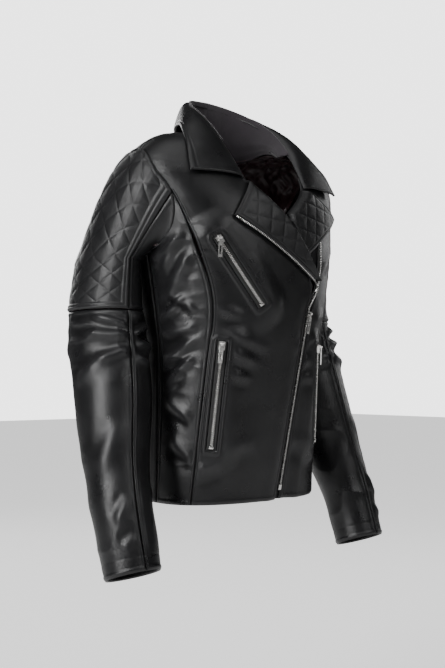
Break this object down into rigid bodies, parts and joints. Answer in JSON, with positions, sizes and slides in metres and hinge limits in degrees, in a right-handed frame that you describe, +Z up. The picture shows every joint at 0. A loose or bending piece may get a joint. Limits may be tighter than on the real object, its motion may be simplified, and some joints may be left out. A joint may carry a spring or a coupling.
{
  "type": "leather riding jacket",
  "caption": "Cropped leather riding jacket with an asymmetric front zip, quilted lapels and upper sleeves, zipped pockets and a satin lining.",
  "frame": {"origin": "middle of the hanger loop inside the nape of the neck", "axes": "+X towards the wearer's left, -Y is the jacket's front, +Z up"},
  "size_m": [0.5192, 0.2588, 0.7195],
  "materials": {
    "shell_leather": "semi-gloss black grained leather",
    "quilted_leather": "semi-gloss black leather, diamond quilted",
    "collar_suede": "matt plum-grey suede-like cloth",
    "satin_lining": "dark maroon satin",
    "zip_metal": "polished nickel",
    "zip_tape": "woven black tape",
    "inner_cloth": "black pocketing and wadding"
  },
  "bodies": {
    "jacket": {"back_panel": "shell_leather", "right_front": "shell_leather", "left_front": "shell_leather", "right_side_panel": "shell_leather", "left_side_panel": "shell_leather", "placket": "shell_leather", "right_lapel": "quilted_leather", "left_lapel": "quilted_leather", "collar_leaf": "shell_leather", "collar_facing": "collar_suede", "hem_facing": "shell_leather", "body_lining": "satin_lining", "right_shoulder_pad": "inner_cloth", "left_shoulder_pad": "inner_cloth", "chest_pocket_bag": "inner_cloth", "right_pocket_bag": "inner_cloth", "left_pocket_bag": "inner_cloth", "hanger_loop": "zip_tape", "main_tape_right": "zip_tape", "main_tape_left": "zip_tape", "main_teeth_right": "zip_metal", "main_teeth_left": "zip_metal", "main_bottom_box": "zip_metal", "chest_tape": "zip_tape", "chest_teeth": "zip_metal", "right_pocket_tape": "zip_tape", "right_pocket_teeth": "zip_metal", "left_pocket_tape": "zip_tape", "left_pocket_teeth": "zip_metal"},
    "main_slider": {"main_slider": "zip_metal"},
    "main_pull": {"main_pull": "zip_metal"},
    "chest_slider": {"chest_slider": "zip_metal"},
    "chest_pull": {"chest_pull": "zip_metal"},
    "right_pocket_slider": {"right_pocket_slider": "zip_metal"},
    "right_pocket_pull": {"right_pocket_pull": "zip_metal"},
    "left_pocket_slider": {"left_pocket_slider": "zip_metal"},
    "left_pocket_pull": {"left_pocket_pull": "zip_metal"},
    "right_sleeve": {"right_quilted_upper": "quilted_leather", "right_under_upper": "shell_leather", "right_sleeve_lining": "satin_lining"},
    "right_forearm": {"right_forearm_outer": "shell_leather", "right_forearm_inner": "shell_leather", "right_cuff_facing": "shell_leather"},
    "left_sleeve": {"left_quilted_upper": "quilted_leather", "left_under_upper": "shell_leather", "left_sleeve_lining": "satin_lining"},
    "left_forearm": {"left_forearm_outer": "shell_leather", "left_forearm_inner": "shell_leather", "left_cuff_facing": "shell_leather"}
  },
  "joints": [
    {"name": "main_slider_slide", "type": "slide", "parent": "jacket", "child": "main_slider", "axis": [-0.113, 0.121, -0.9862], "range_m": [0, 0.2434]},
    {"name": "main_pull_swing", "type": "hinge", "parent": "main_slider", "child": "main_pull", "pos_m": [0.05347, -0.17621, -0.268], "axis": [-0.9602, -0.2685, 0.0771], "range_deg": [0, 150]},
    {"name": "chest_slider_slide", "type": "slide", "parent": "jacket", "child": "chest_slider", "axis": [0.582, -0.1499, -0.7993], "range_m": [0, 0.098]},
    {"name": "chest_pull_swing", "type": "hinge", "parent": "chest_slider", "child": "chest_pull", "pos_m": [-0.11388, -0.17011, -0.17027], "axis": [-0.9175, 0.3977, 0], "range_deg": [0, 150]},
    {"name": "right_pocket_slider_slide", "type": "slide", "parent": "jacket", "child": "right_pocket_slider", "axis": [-0.0347, 0.1247, -0.9916], "range_m": [0, 0.132]},
    {"name": "right_pocket_pull_swing", "type": "hinge", "parent": "right_pocket_slider", "child": "right_pocket_pull", "pos_m": [-0.10019, -0.15646, -0.31558], "axis": [-0.7416, 0.6619, 0.1092], "range_deg": [0, 150]},
    {"name": "left_pocket_slider_slide", "type": "slide", "parent": "jacket", "child": "left_pocket_slider", "axis": [0.1164, 0.1717, -0.9782], "range_m": [0, 0.132]},
    {"name": "left_pocket_pull_swing", "type": "hinge", "parent": "left_pocket_slider", "child": "left_pocket_pull", "pos_m": [0.08763, -0.16399, -0.31553], "axis": [-0.7631, -0.6149, -0.1987], "range_deg": [0, 150]},
    {"name": "right_sleeve_swing", "type": "hinge", "parent": "jacket", "child": "right_sleeve", "pos_m": [-0.16969, -0.054, -0.03313], "axis": [0, 1, 0], "range_deg": [0, 35]},
    {"name": "right_elbow_bend", "type": "hinge", "parent": "right_sleeve", "child": "right_forearm", "pos_m": [-0.19, -0.064, -0.26601], "axis": [-1, 0, 0], "range_deg": [0, 45], "deforming": ["right_sleeve_lining"]},
    {"name": "left_sleeve_swing", "type": "hinge", "parent": "jacket", "child": "left_sleeve", "pos_m": [0.16969, -0.054, -0.03313], "axis": [0, -1, 0], "range_deg": [0, 35]},
    {"name": "left_elbow_bend", "type": "hinge", "parent": "left_sleeve", "child": "left_forearm", "pos_m": [0.19, -0.064, -0.26601], "axis": [-1, 0, 0], "range_deg": [0, 45], "deforming": ["left_sleeve_lining"]}
  ]
}
